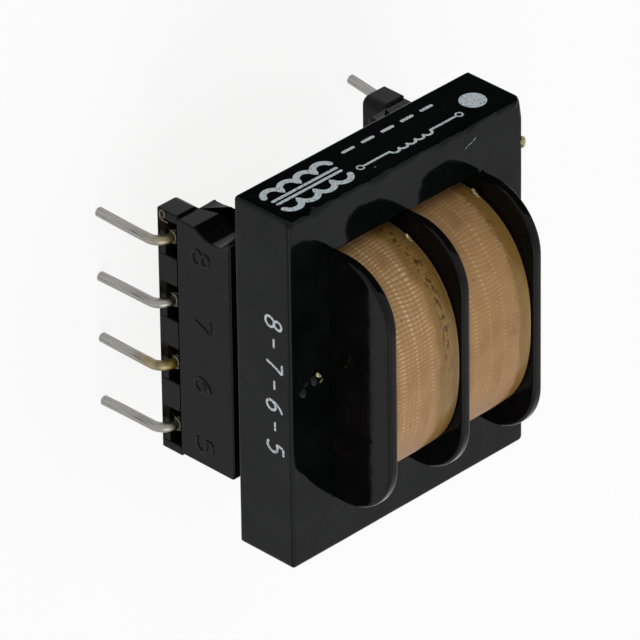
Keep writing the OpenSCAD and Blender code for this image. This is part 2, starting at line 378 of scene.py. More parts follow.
# %% Flanges with a round rim
flange_half_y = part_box("bobbin")[1].y
flange_half_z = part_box("bobbin")[1].z - core_middle
flange_thick, flange_corner = 1.0 * MM, 5.6 * MM


def flange_plate(name, x_mid):
    """Rounded rectangle with a soft rim: out = r (cos f)^0.45, x = r sgn(sin f) |sin f|^0.45.

    f runs from -90 to 90 degrees and r is half the thickness; the power 0.45 makes a half
    circle squarer, so that light gathers in two thin lines. The rim stands on the outline
    moved in by r; inside it both faces are that outline shrunk to its middle.
    """
    r = flange_thick / 2
    outline = rounded_box_line(flange_half_y, flange_half_z, flange_corner, 24, 22)
    inset = rounded_box_line(flange_half_y - r, flange_half_z - r, flange_corner - r, 24, 22)
    f = np.linspace(-np.pi / 2, np.pi / 2, 25)
    out, over = np.abs(np.cos(f)) ** 0.45, np.sign(f) * np.abs(np.sin(f)) ** 0.45
    out[[0, -1]] = 0.0
    rim = inset + (outline - inset) * out[:, None, None]
    face = inset * np.linspace(0, 1, 8)[:-1, None, None]
    flat = np.concatenate([face, rim, face[::-1]])
    x = np.r_[np.full(7, -r), r * over, np.full(7, r)]
    x = x[:, None] + x_mid + 0 * flat[..., 0]
    return skin(name, np.stack([x, flat[..., 0], flat[..., 1] + core_middle], -1))


for k, x in enumerate((-8.9275, 0.0, 8.9275)):
    flange = dress(flange_plate(f"flange_{k + 1}", x * MM), nylon, "former", "bobbin")
print("flanges: 3, each", len(flange.data.polygons), "faces")

# %% Tube between the flanges
tube_line = rounded_box_line(5.6125 * MM, 4.025 * MM, 0.6 * MM, 6, 7)
tube_x = np.array([-8.9, -8.9, 8.9, 8.9]) * MM
tube_size = np.array([0.86, 1.0, 1.0, 0.86])
tube_flat = tube_line[None] * tube_size[:, None, None]
former_tube = skin("former_tube", np.concatenate(
    [np.broadcast_to(tube_x[:, None, None], tube_flat.shape[:2] + (1,)),
     tube_flat[..., :1], tube_flat[..., 1:] + core_middle], -1))
dress(former_tube, nylon, "former", "bobbin")
print("tube:", len(former_tube.data.polygons), "faces")

# %% Blocks with small radii
def block_copy(name, side, radius):
    """The solid's copy outside the flange: merged, cut off, capped, made of flat faces, bevelled."""
    mesh = nodes["bobbin"].data.copy()
    mesh.name = name
    shape = bmesh.new()
    shape.from_mesh(mesh)
    bmesh.ops.remove_doubles(shape, verts=shape.verts, dist=2e-6)
    bmesh.ops.bisect_plane(shape, geom=[*shape.verts, *shape.edges, *shape.faces], dist=1e-7,
                           plane_co=(side * 9.43 * MM, 0, 0), plane_no=(-side, 0, 0), clear_outer=True)
    bmesh.ops.holes_fill(shape, edges=[e for e in shape.edges if e.is_boundary], sides=0)
    # cut along two levels through the pockets, so that no flat face is left with a hole in it
    for level in (2.5 * MM, 1.3 * MM):
        cut = bmesh.ops.bisect_plane(shape, geom=[*shape.verts, *shape.edges, *shape.faces], dist=1e-7,
                                     plane_co=(0, 0, level), plane_no=(0, 0, 1))["geom_cut"]
        for edge in (e for e in cut if isinstance(e, bmesh.types.BMEdge)):
            edge.seam = True
    bmesh.ops.dissolve_limit(shape, angle_limit=np.radians(0.6), verts=shape.verts, edges=shape.edges,
                             delimit={"SEAM"})
    shape.to_mesh(mesh)
    shape.free()
    if "custom_normal" in mesh.attributes:
        mesh.attributes.remove(mesh.attributes["custom_normal"])
    mesh.polygons.foreach_set("use_smooth", [True] * len(mesh.polygons))
    piece = bpy.data.objects.new(name, mesh)
    scene.collection.objects.link(piece)
    bevel = piece.modifiers.new("edge_radius", "BEVEL")
    bevel.width, bevel.segments = radius, 3
    bevel.limit_method, bevel.angle_limit = "ANGLE", np.radians(35)
    bevel.use_clamp_overlap = False
    bevel.harden_normals = True
    return piece


for word, side in (("left", -1), ("right", 1)):
    block = dress(block_copy("pin_block_" + word, side, 0.16 * MM), nylon, "former", "bobbin")
    print(block.name, len(block.data.polygons), "faces before its bevel")

# %% [markdown]
# ## The coils
# Under the tape lie hundreds of turns of enamelled copper wire. Only the cheeks of the coils
# can be glimpsed between tape and flange, so the solids stay and get the look of turns laid
# side by side: a reddish amber enamel over bright copper.

# %% Enamelled copper
copper, tree, shader = finish("enamelled_copper_wire", 0.3, metallic=0.75)
place = add(tree, "TexCoord").outputs["Object"]
# turns of 0.15 mm wire, drawn at 0.3 mm
turns = add(tree, "TexWave", {"bands_direction": "X", "Scale": 520.0, "Distortion": 0.6, "Detail": 1.0},
            {"Vector": place})
plug(tree, shader, {"Base Color": ramp(tree, turns.outputs["Fac"], (0.0, "#4a1f10"), (0.6, "#a8572a"), (1.0, "#cf8a4e"))})
bump = add(tree, "Bump", {"Strength": 0.6, "Distance": 0.0001}, {"Height": turns.outputs["Fac"]})
plug(tree, shader, {"Normal": bump})
for coil in ("winding_primary", "winding_secondary"):
    nodes[coil].data.materials.clear()
    nodes[coil].data.materials.append(copper)
print("coils in copper: 2")

# %% [markdown]
# ## Tape over the coils
# Each coil is wrapped in woven glass-cloth tape, soaked in the same varnish bath, which
# turned it from white to a warm amber. Along one edge the varnish has run together into a
# clear yellow band. The tape is wound round a bulging coil, so its outline is a rounded
# square, and its edges curl in towards the flanges.

# %% Woven glass cloth: threads
cloth, tree, shader = finish("varnished_glass_cloth", 0.34, ior=1.34)
wrap = add(tree, "UVMap", {"uv_map": "wrap"}).outputs["UV"]
# the map is in units of 0.1 m: X runs round the coil, Y across it from the -X edge
parts = add(tree, "SeparateXYZ", links={"Vector": wrap})
# threads are 0.2 mm apart on the real tape, drawn at 0.40 mm so that they show
pitch = 0.40 * MM * 10
drift = add(tree, "TexNoise", {"Scale": 18.0, "Detail": 1.0}, {"Vector": wrap})
drift = add(tree, "Math", {"operation": "MULTIPLY", 1: 0.014}, {0: drift})
round_way = add(tree, "Math", {"operation": "ADD"}, {0: parts.outputs["X"], 1: drift})
cross_way = add(tree, "Math", {"operation": "ADD"}, {0: parts.outputs["Y"], 1: drift})


def thread_wave(tree, way, spacing):
    """|sin(pi * way / spacing)|: 0 in the valley between two threads and 1 on top of one."""
    angle = add(tree, "Math", {"operation": "MULTIPLY", 1: np.pi / spacing}, {0: way})
    wave = add(tree, "Math", {"operation": "SINE"}, {0: angle})
    return add(tree, "Math", {"operation": "ABSOLUTE"}, {0: wave}).outputs[0]


warp = thread_wave(tree, round_way, pitch)
weft = thread_wave(tree, cross_way, pitch * 1.25)
weave = add(tree, "Mix", {"data_type": "FLOAT", 0: 0.3}, {2: warp, 3: weft})
print("thread spacing:", pitch / 10 / MM, "mm")

# %% Woven glass cloth: varnish and colour
# `bare` is kept in the mesh: 1 where threads stand out, 0 where varnish has drowned them
bare = add(tree, "Attribute", {"attribute_name": "bare"})
soaked = add(tree, "TexNoise", {"Scale": 21.0, "Detail": 3.0, "Roughness": 0.55}, {"Vector": wrap})
drown = add(tree, "MapRange", {"From Min": 0.4, "From Max": 0.62, "To Min": 1.0, "To Max": 0.25},
            {"Value": soaked})
shown = add(tree, "Math", {"operation": "MULTIPLY"}, {0: drown, 1: bare.outputs["Fac"]})
thread = ramp(tree, weave, (0.0, "#8c6a43"), (0.45, "#a37d50"), (0.8, "#af8a5e"), (1.0, "#bb9a70"))
amber = ramp(tree, soaked, (0.3, "#aa8256"), (0.5, "#a27a4e"), (0.68, "#8f683d"))
tone = add(tree, "Mix", {"data_type": "RGBA"}, {0: shown, 6: amber, 7: thread})
# painted highlights: pale glints on the crests of the weft, in rows 1.7 mm apart, the first 0.9 mm from the
# edge
row = add(tree, "Math", {"operation": "SUBTRACT", 1: 0.009}, {0: parts.outputs["Y"]})
row = add(tree, "Math", {"operation": "PINGPONG", 1: 0.0085}, {0: row})
row = add(tree, "MapRange", {"From Min": 0.0008, "From Max": 0.0022, "To Min": 0.75, "To Max": 0.0},
          {"Value": row})
# and single painted glints on crests anywhere
cell = add(tree, "VectorMath", {"operation": "SNAP", 1: (pitch, pitch * 1.25, 1.0)}, {0: wrap})
cell = add(tree, "TexWhiteNoise", {"noise_dimensions": "2D"}, {"Vector": cell})
single = add(tree, "MapRange", {"From Min": 0.80, "From Max": 0.95, "To Max": 0.55},
             {"Value": cell.outputs["Value"]})
single = add(tree, "Math", {"operation": "MULTIPLY"}, {0: single, 1: weft})
pale = add(tree, "Math", {"operation": "MAXIMUM"}, {0: row, 1: single})
crest = add(tree, "MapRange", {"From Min": 0.6, "From Max": 0.95}, {"Value": warp})
pale = add(tree, "Math", {"operation": "MULTIPLY"}, {0: pale, 1: crest})
few = add(tree, "Math", {"operation": "MULTIPLY_ADD", 1: 0.75, 2: 0.12}, {0: shown})
pale = add(tree, "Math", {"operation": "MULTIPLY"}, {0: pale, 1: few})
# the painted highlight is a pale cream, fewer where varnish has drowned the threads
tone = add(tree, "Mix", {"data_type": "RGBA", 7: linear("#dcc79c")}, {0: pale, 6: tone.outputs[2]})
print("cloth tones ready")

# %% Woven glass cloth: the yellow band
# `into_band` is kept in the mesh: mm past the start of the band; it wavers by 0.4 mm
into = add(tree, "Attribute", {"attribute_name": "into_band"})
waver = add(tree, "TexNoise", {"Scale": 30.0, "Detail": 3.0}, {"Vector": wrap})
place_on = add(tree, "Math", {"operation": "MULTIPLY_ADD", 1: 1.6, 2: -0.8}, {0: waver})
place_on = add(tree, "Math", {"operation": "ADD"}, {0: into.outputs["Fac"], 1: place_on})
band = add(tree, "MapRange", {"From Min": -0.15, "From Max": 0.35, "To Max": 0.85}, {"Value": place_on})
across_band = add(tree, "MapRange", {"From Min": 0.0, "From Max": 3.0}, {"Value": place_on})
olive = ramp(tree, across_band, (0.0, "#8c6b3a"), (0.25, "#7d5e28"), (0.5, "#876930"), (0.75, "#6c5224"))
tone = add(tree, "Mix", {"data_type": "RGBA"}, {0: band, 6: tone.outputs[2], 7: olive})
# burnt flecks 0.35 mm wide and 1 mm long, 6.3 mm from the edge, where threads are bare
fleck_map = add(tree, "Mapping", {"Scale": (110.0, 260.0, 1.0)}, {"Vector": wrap})
fleck = add(tree, "TexNoise", {"Scale": 1.0, "Detail": 2.0, "Roughness": 0.6}, {"Vector": fleck_map})
fleck = add(tree, "MapRange", {"From Min": 0.5, "From Max": 0.6}, {"Value": fleck})
line_at = add(tree, "Math", {"operation": "SUBTRACT", 1: 0.063}, {0: parts.outputs["Y"]})
line_at = add(tree, "Math", {"operation": "ABSOLUTE"}, {0: line_at})
line_at = add(tree, "MapRange", {"From Min": 0.002, "From Max": 0.007, "To Min": 1.0, "To Max": 0.0},
              {"Value": line_at})
burnt = add(tree, "Math", {"operation": "MULTIPLY"}, {0: fleck, 1: line_at})
there = add(tree, "MapRange", {"From Min": 0.2, "From Max": 0.55, "To Min": 0.15, "To Max": 0.9},
            {"Value": bare.outputs["Fac"]})
burnt = add(tree, "Math", {"operation": "MULTIPLY"}, {0: burnt, 1: there})
tone = add(tree, "Mix", {"data_type": "RGBA", 7: linear("#45240b")}, {0: burnt, 6: tone.outputs[2]})
# a few brown spots anywhere, and a pale selvage along the last 0.25 mm
spot = add(tree, "TexVoronoi", {"Scale": 55.0}, {"Vector": wrap})
spot = add(tree, "MapRange", {"From Min": 0.05, "From Max": 0.10, "To Min": 0.55, "To Max": 0.0},
           {"Value": spot})
tone = add(tree, "Mix", {"data_type": "RGBA", 7: linear("#6b4a22")}, {0: spot, 6: tone.outputs[2]})
selvage = add(tree, "MapRange", {"From Min": 0.0742, "From Max": 0.0762, "To Max": 0.6},
              {"Value": parts.outputs["Y"]})
tone = add(tree, "Mix", {"data_type": "RGBA", 7: linear("#b39c62")}, {0: selvage, 6: tone.outputs[2]})
plug(tree, shader, {"Base Color": tone.outputs[2]})
wet = add(tree, "MapRange", {"To Min": 0.46, "To Max": 0.3}, {"Value": band})
plug(tree, shader, {"Roughness": wet})
relief = add(tree, "MapRange", {"To Min": 0.04, "To Max": 0.5}, {"Value": shown})
bump = add(tree, "Bump", {"Distance": 0.00007}, {"Height": weave, "Strength": relief})
bump = add(tree, "Bump", {"Strength": 0.3, "Distance": 0.0003},
           {"Height": soaked, "Normal": bump})
plug(tree, shader, {"Normal": bump})
print("material:", cloth.name)

# %% The wrapped tape
def wrapped_tape(name, node, threads, band_start, squareness=2.4, curl=0.35 * MM, crown=0.10 * MM):
    """Superellipse carried across the coil: y = b(x) * sgn(cos t) |cos t|^(2/n), z the same with sin t.

    b(x) is the half size less a crown, crown * s^2, and a curl at both edges, where a quarter
    circle of radius `curl` turns the cloth inwards; s runs from -1 to 1 across the coil.
    t is stepped so that points lie at even lengths round the outline. Two numbers are kept
    for each point: bare = threads * (0.5 + 0.6 y / half_y - 0.25 s), and the distance past
    the start of the yellow band, in mm.
    """
    low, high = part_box(node)
    half_y, half_z = high.y, (high.z - low.z) / 2
    t = np.linspace(0, 2 * np.pi, 4001)
    fold = np.stack([np.sign(np.cos(t)) * np.abs(np.cos(t)) ** (2 / squareness),
                     np.sign(np.sin(t)) * np.abs(np.sin(t)) ** (2 / squareness)], -1)
    outline = even(fold * [half_y, half_z], 0.28 * MM)
    outline[-1] = outline[0]
    length = np.r_[0, np.linalg.norm(np.diff(outline, axis=0), axis=1)].cumsum()
    turn = np.linspace(0, np.pi / 2, 7)
    half_x = (high.x - low.x) / 2
    flat = np.linspace(-1, 1, 33)
    x = np.r_[-half_x * np.ones(2), -half_x + curl * (1 - np.cos(turn)), flat[1:-1] * (half_x - curl),
              half_x - curl * (1 - np.cos(turn[::-1])), half_x * np.ones(2)]
    sink = np.r_[0.45 * MM, curl, curl * (1 - np.sin(turn)), 0 * flat[1:-1],
                 curl * (1 - np.sin(turn[::-1])), curl, 0.45 * MM]
    sink = sink + crown * (x / half_x) ** 2
    scale = 1 - sink[None, :, None] / np.array([half_y, half_z])
    ring = outline[:, None] * scale
    x_mid, z_mid = (high.x + low.x) / 2, (high.z + low.z) / 2
    points = np.concatenate([np.broadcast_to(x + x_mid, ring.shape[:2])[..., None],
                             ring[..., :1], ring[..., 1:] + z_mid], -1)
    uv = np.stack(np.broadcast_arrays(length[:, None] * 10, (x[None] + half_x) * 10), -1)
    piece = skin(name, points, uv)
    co = np.zeros(len(piece.data.vertices) * 3)
    piece.data.vertices.foreach_get("co", co)
    co = co.reshape(-1, 3)
    aside = co[:, 0] - x_mid
    bare = threads * np.clip(0.5 + 0.6 * co[:, 1] / half_y - 0.25 * aside / half_x, 0.12, 1.0)
    into = (aside + half_x - band_start) / MM
    for word, values in (("bare", bare), ("into_band", into)):
        piece.data.attributes.new(word, "FLOAT", "POINT").data.foreach_set("value", values.astype(np.float32))
    return piece


for part in ("primary", "secondary"):
    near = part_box("tape_" + part)[1].x < 0
    tape = dress(wrapped_tape("tape_wrap_" + part, "tape_" + part, 1.0 if near else 0.35,
                              (4.9 if near else 6.0) * MM), cloth, "tape", "tape_" + part)
    solid = tape.modifiers.new("cloth_thickness", "SOLIDIFY")
    solid.thickness, solid.offset = 0.12 * MM, -1.0
    print(tape.name, len(tape.data.polygons), "faces")

# %% [markdown]
# ## Pins
# The pins are round brass wire, tin-plated, bent down by hand tools before the part was
# wound, so no two bends are quite alike. Tin is a soft, slightly warm grey metal with fine
# drawn scratches; near the roots flux from soldering has left brown and olive stains.

# %% Tin plate
tin, tree, shader = finish("tin_plated_brass", 0.28, metallic=1.0)
wrap = add(tree, "UVMap", {"uv_map": "wrap"}).outputs["UV"]
# drawn scratches are hair fine; drawn 0.15 mm wide and 3 mm long so that they show
long = add(tree, "Mapping", {"Scale": (28.0, 620.0, 1.0)}, {"Vector": wrap})
scratch = add(tree, "TexNoise", {"Scale": 1.0, "Detail": 4.0, "Roughness": 0.7}, {"Vector": long})
metal = ramp(tree, scratch, (0.30, "#3f3e3c"), (0.42, "#8b8985"), (0.58, "#9d9b96"), (0.72, "#c4c2bd"))
# painted shade: two dark lengthwise lines, 0.2 mm wide, on the wire's flanks, where its edges look dark; once
# round the wire is 0.0289 in the map
turned = add(tree, "SeparateXYZ", links={"Vector": wrap})
turned = add(tree, "Math", {"operation": "MULTIPLY_ADD", 1: 10 / (2 * np.pi * 0.46)}, {0: turned.outputs["Y"]})
wobble = add(tree, "TexNoise", {"Scale": 60.0, "Detail": 2.0}, {"Vector": wrap})
wobble = add(tree, "Math", {"operation": "MULTIPLY_ADD", 1: 0.1, 2: -0.05}, {0: wobble})
plug(tree, turned, {2: wobble})
painted_flank_shade = ramp(tree, turned, (0.10, "#ffffff"), (0.135, "#3c3c3c"), (0.19, "#ffffff"), (0.53, "#ffffff"),
                 (0.60, "#8c8c8c"), (0.66, "#ffffff"))
metal = add(tree, "Mix", {"data_type": "RGBA", "blend_type": "MULTIPLY", 0: 1.0},
            {6: metal, 7: painted_flank_shade}).outputs[2]
flux = add(tree, "Attribute", {"attribute_name": "flux"})
blotch = add(tree, "TexNoise", {"Scale": 120.0, "Detail": 3.0}, {"Vector": wrap})
brown = ramp(tree, blotch, (0.3, "#4a3814"), (0.5, "#8f7a36"), (0.75, "#b3a468"))
tone = add(tree, "Mix", {"data_type": "RGBA"}, {0: flux.outputs["Fac"], 6: metal, 7: brown})
plug(tree, shader, {"Base Color": tone.outputs[2]})
dull = add(tree, "MapRange", {"To Min": 0.24, "To Max": 0.5}, {"Value": flux.outputs["Fac"]})
plug(tree, shader, {"Roughness": dull})
bump = add(tree, "Bump", {"Strength": 0.2, "Distance": 0.00003}, {"Height": scratch})
plug(tree, shader, {"Normal": bump})
print("material:", tin.name)

# %% Bent pins
pin_radius = 0.46 * MM
pin_rows = {1: 9.525, 2: 3.175, 3: -3.175, 4: -9.525, 5: -9.525, 6: -3.175, 7: 3.175, 8: 9.525}
pin_level = 1.35 * MM


def pin_path(number, lean=0.0, sway=0.0):
    """A level leg, a quarter turn of 1.25 mm radius and a straight drop: f goes from 90 to `lean` degrees.

    sway shifts the tip sideways by sway * q^2, with q the share of the way from bend to tip.
    """
    side = 1 if number < 5 else -1
    bend, reach = 1.25 * MM, 15.0875 * MM
    f = np.radians(np.linspace(90, lean, 15))
    arc = np.stack([reach - bend + bend * np.cos(f), pin_level - bend + bend * np.sin(f)], -1)
    heading = np.array([np.sin(f[-1]), -np.cos(f[-1])])
    drop = (arc[-1, 1] + 6.1 * MM) / np.cos(f[-1])
    q = np.linspace(0, 1, 22)[1:, None]
    tip = arc[-1] + heading * drop * q
    start = np.stack([np.linspace(11.25 * MM, arc[0, 0], 8)[:-1], np.full(7, pin_level)], -1)
    line = np.vstack([start, arc, tip])
    y = np.full(len(line), pin_rows[number] * MM)
    y[-len(q):] += sway * q[:, 0] ** 2
    return np.stack([side * line[:, 0], y, line[:, 1]], -1)


sways = {1: 0.0, 2: 0.06, 3: -0.05, 4: 0.08, 5: -0.10, 6: 0.05, 7: -0.08, 8: 0.12}
# strength of the stain and how far it reaches from the block, in mm
stains = {1: (0.3, 1.5), 2: (0.5, 1.8), 3: (0.35, 1.5), 4: (0.6, 2.0),
          5: (0.55, 1.6), 6: (1.0, 3.4), 7: (0.4, 1.4), 8: (0.85, 2.2)}
for number in pin_rows:
    path = pin_path(number, 8.0 if number == 1 else 0.0, sways[number] * MM)
    pin = tube(f"pin_wire_{number}", path, pin_radius, (0.0, 1.0, 0.0), 24, 0.12 * MM)
    dress(pin, tin, "pin", f"pin_{number}")
    co = np.zeros(len(pin.data.vertices) * 3)
    pin.data.vertices.foreach_get("co", co)
    co = co.reshape(-1, 3)
    root = np.abs(co[:, 0]) + np.maximum(-co[:, 2], 0) - 13.4 * MM
    strength, reach = stains[number]
    amount = strength * np.clip(1.15 - root / (reach * MM), 0, 1)
    pin.data.attributes.new("flux", "FLOAT", "POINT").data.foreach_set("value", amount.astype(np.float32))
print("pins:", len(pin_rows), "of", 2 * pin_radius / MM, "mm wire")

# %% [markdown]
# ## Lead wires
# Each coil end leaves below the coil, runs level through the foot of the block, is wound twice round
# its pin and soldered. The wires are copper with the enamel burnt off near the joint, so
# tin shows there. One tube follows the whole route, with a helix for the wound turns, and a
# small swelling of solder sits over them.

# %% Solder and bare wire
solder, tree, shader = finish("soft_solder", 0.3, metallic=1.0)
place = add(tree, "TexCoord").outputs["Object"]
# frosty grain of cooled solder, 0.1 mm on the real joint, drawn at 0.25 mm
frost = add(tree, "TexNoise", {"Scale": 4000.0, "Detail": 2.0}, {"Vector": place})
plug(tree, shader, {"Base Color": ramp(tree, frost, (0.3, "#3a362c"), (0.7, "#7d7768"))})
bump = add(tree, "Bump", {"Strength": 0.3, "Distance": 0.00005}, {"Height": frost})
plug(tree, shader, {"Normal": bump})

lead, tree, shader = finish("tinned_copper_lead", 0.32, metallic=1.0)
wrap = add(tree, "UVMap", {"uv_map": "wrap"}).outputs["UV"]
drawn = add(tree, "Mapping", {"Scale": (60.0, 1500.0, 1.0)}, {"Vector": wrap})
lines = add(tree, "TexNoise", {"Scale": 1.0, "Detail": 3.0}, {"Vector": drawn})
enamel = ramp(tree, lines, (0.3, "#140a05"), (0.7, "#2e190c"))
tinned = ramp(tree, lines, (0.3, "#3d3930"), (0.7, "#7a7466"))
# enamel is stripped where the wire comes out of the block, 12.8 mm from the middle
axes = add(tree, "SeparateXYZ", links={"Vector": add(tree, "TexCoord").outputs["Object"]})
away = add(tree, "Math", {"operation": "ABSOLUTE"}, {0: axes.outputs["X"]})
stripped = add(tree, "MapRange", {"From Min": 12.6 * MM, "From Max": 12.95 * MM}, {"Value": away})
tone = add(tree, "Mix", {"data_type": "RGBA"}, {0: stripped, 6: enamel, 7: tinned})
plug(tree, shader, {"Base Color": tone.outputs[2]})
bump = add(tree, "Bump", {"Strength": 0.2, "Distance": 0.00002}, {"Height": lines})
plug(tree, shader, {"Normal": bump})
print("materials:", solder.name, lead.name)

# %% Wires wound on the pins
def lead_path(number):
    """Down from the coil, close under the block, through its foot, then 2 turns round the pin.

    Helix: x = x0 + pitch * a / 2 pi, y = pin + r cos a, z = level + r sin a, with r the sum of
    both radii.
    """
    side = 1 if number < 5 else -1
    y_run = (pin_rows[number] + 1.1) * MM
    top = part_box(f"lead_wire_{number}")[1].z
    y_pin = pin_rows[number] * MM
    down = [(8.1275, y_run / MM, top / MM), (8.1275, y_run / MM, 2.6 + (top / MM - 2.6) * 0.5),
            (8.16, y_run / MM, 2.55), (8.4, y_run / MM, 2.32), (8.9, y_run / MM, 2.28),
            (10.4, y_run / MM, 2.28), (10.85, y_run / MM, 1.9), (11.15, y_run / MM, 1.42),
            (12.6, y_run / MM, 1.35), (12.95, y_run / MM - 0.15, 1.5),
            (13.03, y_run / MM - 0.6, 1.84)]
    a = np.linspace(np.pi / 2, np.pi / 2 + 2 * np.pi * 2, 49)
    r = pin_radius + 0.16 * MM
    helix = np.stack([13.08 * MM + 0.26 * MM * (a - a[0]) / (2 * np.pi), y_pin + r * np.cos(a),
                      pin_level + r * np.sin(a)], -1)
    helix[:, 0] = np.minimum(helix[:, 0], 13.6 * MM)
    line = flowing(np.vstack([np.array(down) * MM, helix[::3]]), 0.09 * MM)
    return line * [side, 1, 1]


def solder_swelling(name, number):
    """A ring of solder turned round the pin: radius = 0.47 + 0.2 sin(pi s) mm, s from 0 to 1 along the pin."""
    side = 1 if number < 5 else -1
    s = np.linspace(0, 1, 13)
    a = np.linspace(0, 2 * np.pi, 25)
    radius = (0.47 + 0.2 * np.sin(np.pi * s)[:, None] * (1 + 0.12 * np.sin(2 * a + number)[None])) * MM
    x = side * (13.02 + 0.62 * s)[:, None] * MM + 0 * a[None]
    points = np.stack([x, pin_rows[number] * MM + radius * np.cos(a), pin_level + radius * np.sin(a)], -1)
    ends = points.copy()[[0, -1]]
    ends[..., 1:] = [pin_rows[number] * MM, pin_level]
    return skin(name, np.concatenate([ends[:1], points, ends[1:]]))


for number in pin_rows:
    wire = tube(f"lead_{number}", lead_path(number), 0.15 * MM, (0.28, 0.05, 0.96), 12, 0.04 * MM)
    dress(wire, lead, "lead_wire", f"lead_wire_{number}")
    dress(solder_swelling(f"solder_{number}", number), solder, "lead_wire")
print("leads:", len(pin_rows))

# %% [markdown]
# ## Raised numbers and printed marks
# The block next to each pin row carries raised pin numbers, moulded with the bobbin: a
# rounded bead 0.3 mm wide follows the strokes of each figure. The core is printed in pale
# ink with plain marks: a transformer symbol, a winding line, five bars, a dot for the start
# of the winding, and the pin numbers of that side. Ink is a very flat bead.

# %% A bead along a line
def bead(name, line, width, height, origin, right, up, closed=False):
    """Half-ellipse carried along a flat line: across = w/2 cos v, out = h sin v, v from 0 to pi, closed below.

    The width shrinks at both ends as a half circle does, w * sqrt(1 - (1 - e)^2), where e is the
    distance to the end over w/2.
    """
    right, up = np.array(right, float), np.array(up, float)
    out = np.cross(right, up)
    line = np.asarray(line, float)
    way = np.gradient(line, axis=0)
    if closed:
        way[0] = way[-1] = (line[1] - line[-2]) / 2
    way /= np.linalg.norm(way, axis=1)[:, None]
    aside = np.stack([-way[:, 1], way[:, 0]], -1)
    length = np.r_[0, np.linalg.norm(np.diff(line, axis=0), axis=1)].cumsum()
    end = np.minimum(length, length[-1] - length) / (width / 2)
    shrink = np.ones(len(line)) if closed else np.sqrt(np.clip(1 - (1 - np.clip(end, 0, 1)) ** 2, 0, 1))
    v = np.linspace(0, np.pi, 7)
    across = np.r_[np.cos(v), -1.0, 1.0, 1.0] * width / 2
    rise = np.r_[np.sin(v) * height, -0.03 * MM, -0.03 * MM, 0.0]
    flat = line[:, None] + aside[:, None] * (across[None, :, None] * shrink[:, None, None])
    lift = np.broadcast_to(rise, flat.shape[:2]) * np.where(rise > 0, shrink[:, None] ** 0.5, 1.0)
    points = (np.asarray(origin)[None, None] + flat[..., :1] * right + flat[..., 1:] * up
              + lift[..., None] * out)
    return skin(name, points)


def merged(name, pieces):
    """Join meshes into one piece by adding each to one bmesh."""
    shape = bmesh.new()
    for piece in pieces:
        shape.from_mesh(piece.data)
        bpy.data.objects.remove(piece)
    mesh = bpy.data.meshes.new(name)
    shape.to_mesh(mesh)
    shape.free()
    mesh.polygons.foreach_set("use_smooth", [True] * len(mesh.polygons))
    joined = bpy.data.objects.new(name, mesh)
    scene.collection.objects.link(joined)
    return joined


ring_angle = np.linspace(0, 2 * np.pi, 41)
ring_line = np.stack([np.cos(ring_angle), np.sin(ring_angle)], -1)
strokes = {
    "1": [flowing([(0.12, 0.78), (0.3, 0.88), (0.36, 1.0)], 0.04), even([(0.36, 1.0), (0.36, 0.0)], 0.04)],
    "2": [flowing([(0.06, 0.78), (0.14, 0.95), (0.34, 1.0), (0.52, 0.88), (0.5, 0.66), (0.3, 0.4),
                   (0.06, 0.02)], 0.04),
          even([(0.06, 0.0), (0.58, 0.0)], 0.04)],
    "3": [flowing([(0.06, 0.86), (0.24, 1.0), (0.46, 0.94), (0.5, 0.74), (0.28, 0.54)], 0.04),
          flowing([(0.28, 0.54), (0.52, 0.44), (0.56, 0.2), (0.36, 0.02), (0.12, 0.04), (0.03, 0.18)], 0.04)],
    "4": [even([(0.42, 0.0), (0.42, 1.0)], 0.04), even([(0.42, 1.0), (0.02, 0.3)], 0.04),
          even([(0.02, 0.3), (0.6, 0.3)], 0.04)],
    "5": [even([(0.52, 1.0), (0.12, 1.0)], 0.04), even([(0.12, 1.0), (0.08, 0.56)], 0.04),
          flowing([(0.08, 0.56), (0.28, 0.63), (0.48, 0.54), (0.56, 0.33), (0.46, 0.1), (0.26, 0.0),
                   (0.04, 0.1)], 0.04)],
    "6": [flowing([(0.5, 0.97), (0.3, 0.86), (0.12, 0.62), (0.05, 0.33), (0.13, 0.09), (0.3, 0.0), (0.48, 0.09),
                   (0.55, 0.29), (0.47, 0.49), (0.3, 0.56), (0.13, 0.46), (0.06, 0.3)], 0.04)],
    "7": [even([(0.04, 1.0), (0.58, 1.0)], 0.04), flowing([(0.58, 1.0), (0.4, 0.6), (0.24, 0.0)], 0.04)],
    "8": [ring_line * [0.26, 0.27] + [0.3, 0.27], ring_line * [0.21, 0.225] + [0.3, 0.775]],
}


def figure(name, digit, size, width, height, origin, right, up, slope=0.0, stretch=1.0):
    """The beads of one figure, `size` tall: x = stretch * x0 + slope * y0, y = y0, both times size."""
    made = []
    for k, line in enumerate(strokes[digit]):
        leaning = np.stack([line[:, 0] * stretch + slope * line[:, 1], line[:, 1]], -1) * size
        made.append(bead(f"{name}_{k}", leaning, width, height, origin, right, up,
                         closed=digit == "8"))
    return merged(name, made)


print("figures ready:", " ".join(strokes))

# %% Moulded pin numbers
wall = 13.9875 * MM
number_y = {8: 9.95, 7: 3.3, 6: -2.9, 5: -9.0, 4: -10.4, 3: -4.1, 2: 2.2, 1: 8.9}
for number, y in number_y.items():
    left = number > 4
    place_at = (-wall if left else wall, y * MM, 4.35 * MM)
    raised = figure(f"number_{number}", str(number), 1.95 * MM, 0.30 * MM, 0.13 * MM, place_at,
                    (0, -1, 0) if left else (0, 1, 0), (0, 0, 1), stretch=1.4)
    dress(raised, nylon, "former")
print("moulded numbers: 8")

# %% Printing ink
ink, tree, shader = finish("screen_printed_ink", 0.5, ior=1.45)
place = add(tree, "TexCoord").outputs["Object"]
